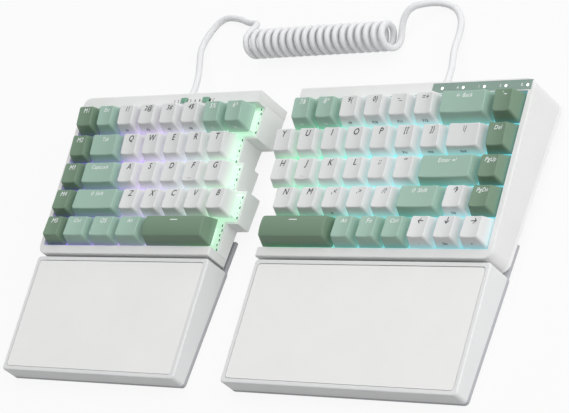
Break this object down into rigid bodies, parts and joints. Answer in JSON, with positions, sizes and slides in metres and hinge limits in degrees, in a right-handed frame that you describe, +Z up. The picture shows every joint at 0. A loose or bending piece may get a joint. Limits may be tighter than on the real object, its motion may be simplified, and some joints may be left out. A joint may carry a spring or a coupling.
{
  "type": "split keyboard",
  "caption": "Ergonomic split mechanical keyboard: two linked halves with sculpted keys, wedge wrist rests, fold-out feet and a coiled link cable.",
  "frame": {"origin": "on the desk, under the middle of both halves with their wrist rests, cable left out", "axes": "+X along the key rows to the typist's right, +Y away from the typist, +Z up"},
  "size_m": [0.3694, 0.2671, 0.04],
  "materials": {
    "white_cap": "satin",
    "sage_cap": "satin",
    "mint_cap": "satin",
    "case_plastic": "satin",
    "plate_metal": "satin",
    "switch_plastic": "satin",
    "board": "satin",
    "rubber": "matte",
    "screw_steel": "satin",
    "slider_plastic": "satin",
    "panel_plastic": "gloss",
    "light_guide": "gloss",
    "rest_pad": "matte",
    "rest_base": "satin",
    "cord_jacket": "satin",
    "plug_plastic": "satin"
  },
  "bodies": {
    "left_half": {"left_bottom_case": "case_plastic", "left_top_frame": "case_plastic", "left_switch_plate": "plate_metal", "left_key_switches": "switch_plastic", "left_stabilisers": "switch_plastic", "left_circuit_board": "board", "left_rubber_feet": "rubber", "left_case_screws": "screw_steel", "cable_left_plug": "plug_plastic", "cable_left_lead": "cord_jacket"},
    "right_half": {"right_bottom_case": "case_plastic", "right_top_frame": "case_plastic", "right_switch_plate": "plate_metal", "right_key_switches": "switch_plastic", "right_stabilisers": "switch_plastic", "right_circuit_board": "board", "right_rubber_feet": "rubber", "right_case_screws": "screw_steel", "status_panel": "panel_plastic", "status_lights": "light_guide", "cable_right_plug": "plug_plastic"},
    "cable": {"cable_coil": "cord_jacket", "cable_right_lead": "cord_jacket"},
    "left_wrist_rest": {"left_wrist_rest_shell": "case_plastic", "left_wrist_rest_pad": "rest_pad", "left_wrist_rest_base": "rest_base"},
    "left_fold_out_feet": {"left_fold_out_feet": "slider_plastic"},
    "right_wrist_rest": {"right_wrist_rest_shell": "case_plastic", "right_wrist_rest_pad": "rest_pad", "right_wrist_rest_base": "rest_base"},
    "right_fold_out_feet": {"right_fold_out_feet": "slider_plastic"},
    "left_mode_switch": {"left_mode_switch": "slider_plastic"},
    "left_system_switch": {"left_system_switch": "slider_plastic"},
    "macro_keys": {"macro_keys": "sage_cap"},
    "escape_key": {"escape_key": "mint_cap"},
    "left_number_keys": {"left_number_keys": "white_cap"},
    "tab_key": {"tab_key": "mint_cap"},
    "left_upper_letter_keys": {"left_upper_letter_keys": "white_cap"},
    "caps_lock_key": {"caps_lock_key": "mint_cap"},
    "left_home_letter_keys": {"left_home_letter_keys": "white_cap"},
    "left_shift_key": {"left_shift_key": "mint_cap"},
    "left_lower_letter_keys": {"left_lower_letter_keys": "white_cap"},
    "left_control_key": {"left_control_key": "mint_cap"},
    "left_system_key": {"left_system_key": "mint_cap"},
    "left_alt_key": {"left_alt_key": "mint_cap"},
    "left_space_bar": {"left_space_bar": "sage_cap"},
    "right_number_keys": {"right_number_keys": "white_cap"},
    "backspace_key": {"backspace_key": "mint_cap"},
    "right_upper_letter_keys": {"right_upper_letter_keys": "white_cap"},
    "right_home_letter_keys": {"right_home_letter_keys": "white_cap"},
    "enter_key": {"enter_key": "mint_cap"},
    "right_lower_letter_keys": {"right_lower_letter_keys": "white_cap"},
    "right_shift_key": {"right_shift_key": "mint_cap"},
    "up_arrow_key": {"up_arrow_key": "white_cap"},
    "left_arrow_key": {"left_arrow_key": "white_cap"},
    "down_arrow_key": {"down_arrow_key": "white_cap"},
    "right_arrow_key": {"right_arrow_key": "white_cap"},
    "right_space_bar": {"right_space_bar": "sage_cap"},
    "right_modifier_keys": {"right_modifier_keys": "mint_cap"},
    "navigation_keys": {"navigation_keys": "sage_cap"}
  },
  "joints": [
    {"name": "half_splay", "type": "hinge", "parent": "right_half", "child": "cable", "pos_m": [-0.00952, 0.09439, 0], "axis": [0, 0, 1], "range_deg": [-30, 0], "deforming": ["cable_right_lead"]},
    {"name": "half_spread", "type": "slide", "parent": "cable", "child": "left_half", "axis": [1, 0, 0], "range_m": [-0.06, 0.02], "deforming": ["cable_coil"]},
    {"name": "left_wrist_rest_pull", "type": "slide", "parent": "left_half", "child": "left_wrist_rest", "axis": [0, -1, 0], "range_m": [0, 0.04]},
    {"name": "left_feet_fold", "type": "hinge", "parent": "left_half", "child": "left_fold_out_feet", "pos_m": [-0.16132, 0.08141, 0.0048], "axis": [1, 0, 0], "range_deg": [0, 90]},
    {"name": "right_wrist_rest_pull", "type": "slide", "parent": "right_half", "child": "right_wrist_rest", "axis": [0, -1, 0], "range_m": [0, 0.04]},
    {"name": "right_feet_fold", "type": "hinge", "parent": "right_half", "child": "right_fold_out_feet", "pos_m": [0.02798, 0.08141, 0.0048], "axis": [1, 0, 0], "range_deg": [0, 90]},
    {"name": "mode_slide", "type": "slide", "parent": "left_half", "child": "left_mode_switch", "axis": [1, 0, 0], "range_m": [-0.002, 0.002]},
    {"name": "system_slide", "type": "slide", "parent": "left_half", "child": "left_system_switch", "axis": [1, 0, 0], "range_m": [0, 0.003]},
    {"name": "macro_keys_press", "type": "slide", "parent": "left_half", "child": "macro_keys", "axis": [0, -0.1045, 0.9945], "range_m": [-0.004, 0], "stiffness_N_per_m": 50, "springref_m": 0.0075},
    {"name": "escape_key_press", "type": "slide", "parent": "left_half", "child": "escape_key", "axis": [0, -0.1045, 0.9945], "range_m": [-0.004, 0], "stiffness_N_per_m": 50, "springref_m": 0.0075},
    {"name": "left_number_keys_press", "type": "slide", "parent": "left_half", "child": "left_number_keys", "axis": [0, -0.1045, 0.9945], "range_m": [-0.004, 0], "stiffness_N_per_m": 50, "springref_m": 0.0075},
    {"name": "tab_key_press", "type": "slide", "parent": "left_half", "child": "tab_key", "axis": [0, -0.1045, 0.9945], "range_m": [-0.004, 0], "stiffness_N_per_m": 50, "springref_m": 0.0075},
    {"name": "left_upper_letter_keys_press", "type": "slide", "parent": "left_half", "child": "left_upper_letter_keys", "axis": [0, -0.1045, 0.9945], "range_m": [-0.004, 0], "stiffness_N_per_m": 50, "springref_m": 0.0075},
    {"name": "caps_lock_key_press", "type": "slide", "parent": "left_half", "child": "caps_lock_key", "axis": [0, -0.1045, 0.9945], "range_m": [-0.004, 0], "stiffness_N_per_m": 50, "springref_m": 0.0075},
    {"name": "left_home_letter_keys_press", "type": "slide", "parent": "left_half", "child": "left_home_letter_keys", "axis": [0, -0.1045, 0.9945], "range_m": [-0.004, 0], "stiffness_N_per_m": 50, "springref_m": 0.0075},
    {"name": "left_shift_key_press", "type": "slide", "parent": "left_half", "child": "left_shift_key", "axis": [0, -0.1045, 0.9945], "range_m": [-0.004, 0], "stiffness_N_per_m": 50, "springref_m": 0.0075},
    {"name": "left_lower_letter_keys_press", "type": "slide", "parent": "left_half", "child": "left_lower_letter_keys", "axis": [0, -0.1045, 0.9945], "range_m": [-0.004, 0], "stiffness_N_per_m": 50, "springref_m": 0.0075},
    {"name": "left_control_key_press", "type": "slide", "parent": "left_half", "child": "left_control_key", "axis": [0, -0.1045, 0.9945], "range_m": [-0.004, 0], "stiffness_N_per_m": 50, "springref_m": 0.0075},
    {"name": "left_system_key_press", "type": "slide", "parent": "left_half", "child": "left_system_key", "axis": [0, -0.1045, 0.9945], "range_m": [-0.004, 0], "stiffness_N_per_m": 50, "springref_m": 0.0075},
    {"name": "left_alt_key_press", "type": "slide", "parent": "left_half", "child": "left_alt_key", "axis": [0, -0.1045, 0.9945], "range_m": [-0.004, 0], "stiffness_N_per_m": 50, "springref_m": 0.0075},
    {"name": "left_space_bar_press", "type": "slide", "parent": "left_half", "child": "left_space_bar", "axis": [0, -0.1045, 0.9945], "range_m": [-0.004, 0], "stiffness_N_per_m": 50, "springref_m": 0.0075},
    {"name": "right_number_keys_press", "type": "slide", "parent": "right_half", "child": "right_number_keys", "axis": [0, -0.1045, 0.9945], "range_m": [-0.004, 0], "stiffness_N_per_m": 50, "springref_m": 0.0075},
    {"name": "backspace_key_press", "type": "slide", "parent": "right_half", "child": "backspace_key", "axis": [0, -0.1045, 0.9945], "range_m": [-0.004, 0], "stiffness_N_per_m": 50, "springref_m": 0.0075},
    {"name": "right_upper_letter_keys_press", "type": "slide", "parent": "right_half", "child": "right_upper_letter_keys", "axis": [0, -0.1045, 0.9945], "range_m": [-0.004, 0], "stiffness_N_per_m": 50, "springref_m": 0.0075},
    {"name": "right_home_letter_keys_press", "type": "slide", "parent": "right_half", "child": "right_home_letter_keys", "axis": [0, -0.1045, 0.9945], "range_m": [-0.004, 0], "stiffness_N_per_m": 50, "springref_m": 0.0075},
    {"name": "enter_key_press", "type": "slide", "parent": "right_half", "child": "enter_key", "axis": [0, -0.1045, 0.9945], "range_m": [-0.004, 0], "stiffness_N_per_m": 50, "springref_m": 0.0075},
    {"name": "right_lower_letter_keys_press", "type": "slide", "parent": "right_half", "child": "right_lower_letter_keys", "axis": [0, -0.1045, 0.9945], "range_m": [-0.004, 0], "stiffness_N_per_m": 50, "springref_m": 0.0075},
    {"name": "right_shift_key_press", "type": "slide", "parent": "right_half", "child": "right_shift_key", "axis": [0, -0.1045, 0.9945], "range_m": [-0.004, 0], "stiffness_N_per_m": 50, "springref_m": 0.0075},
    {"name": "up_arrow_key_press", "type": "slide", "parent": "right_half", "child": "up_arrow_key", "axis": [0, -0.1045, 0.9945], "range_m": [-0.004, 0], "stiffness_N_per_m": 50, "springref_m": 0.0075},
    {"name": "left_arrow_key_press", "type": "slide", "parent": "right_half", "child": "left_arrow_key", "axis": [0, -0.1045, 0.9945], "range_m": [-0.004, 0], "stiffness_N_per_m": 50, "springref_m": 0.0075},
    {"name": "down_arrow_key_press", "type": "slide", "parent": "right_half", "child": "down_arrow_key", "axis": [0, -0.1045, 0.9945], "range_m": [-0.004, 0], "stiffness_N_per_m": 50, "springref_m": 0.0075},
    {"name": "right_arrow_key_press", "type": "slide", "parent": "right_half", "child": "right_arrow_key", "axis": [0, -0.1045, 0.9945], "range_m": [-0.004, 0], "stiffness_N_per_m": 50, "springref_m": 0.0075},
    {"name": "right_space_bar_press", "type": "slide", "parent": "right_half", "child": "right_space_bar", "axis": [0, -0.1045, 0.9945], "range_m": [-0.004, 0], "stiffness_N_per_m": 50, "springref_m": 0.0075},
    {"name": "right_modifier_keys_press", "type": "slide", "parent": "right_half", "child": "right_modifier_keys", "axis": [0, -0.1045, 0.9945], "range_m": [-0.004, 0], "stiffness_N_per_m": 50, "springref_m": 0.0075},
    {"name": "navigation_keys_press", "type": "slide", "parent": "right_half", "child": "navigation_keys", "axis": [0, -0.1045, 0.9945], "range_m": [-0.004, 0], "stiffness_N_per_m": 50, "springref_m": 0.0075}
  ]
}
